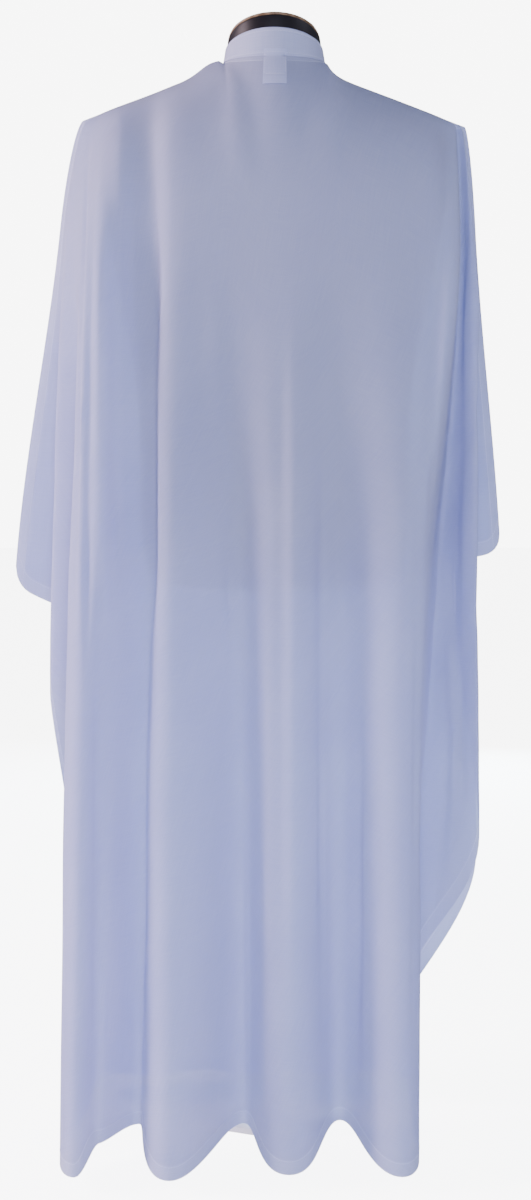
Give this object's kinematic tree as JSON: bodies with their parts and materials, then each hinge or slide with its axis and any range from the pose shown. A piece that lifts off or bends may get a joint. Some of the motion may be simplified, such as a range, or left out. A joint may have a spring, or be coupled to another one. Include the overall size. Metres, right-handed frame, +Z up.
{
  "type": "wide open-sided alb on a dress form",
  "caption": "Full-length wide open-sided alb with a stand collar and blank neck tab, hanging in folds on a limbless dress form on a pole stand.",
  "frame": {"origin": "on the floor, at the underside of the stand's foot below the centre of the pole", "axes": "+Z up, +Y the way the wearer faces, so the back of the garment faces -Y; +X to the wearer's right"},
  "size_m": [0.6279, 0.392, 1.4465],
  "materials": {
    "cloth": "fine plain weave, matt, slightly sheer",
    "form_black": "smooth gloss black",
    "cap_tan": "satin",
    "stand_white": "satin white"
  },
  "bodies": {
    "root": {"back": "cloth", "front": "cloth", "collar": "cloth", "neck_tab": "cloth", "torso": "form_black", "neck": "form_black", "neck_cap": "cap_tan", "pole": "stand_white", "stand_hub": "stand_white", "stand_foot": "stand_white"}
  },
  "joints": []
}
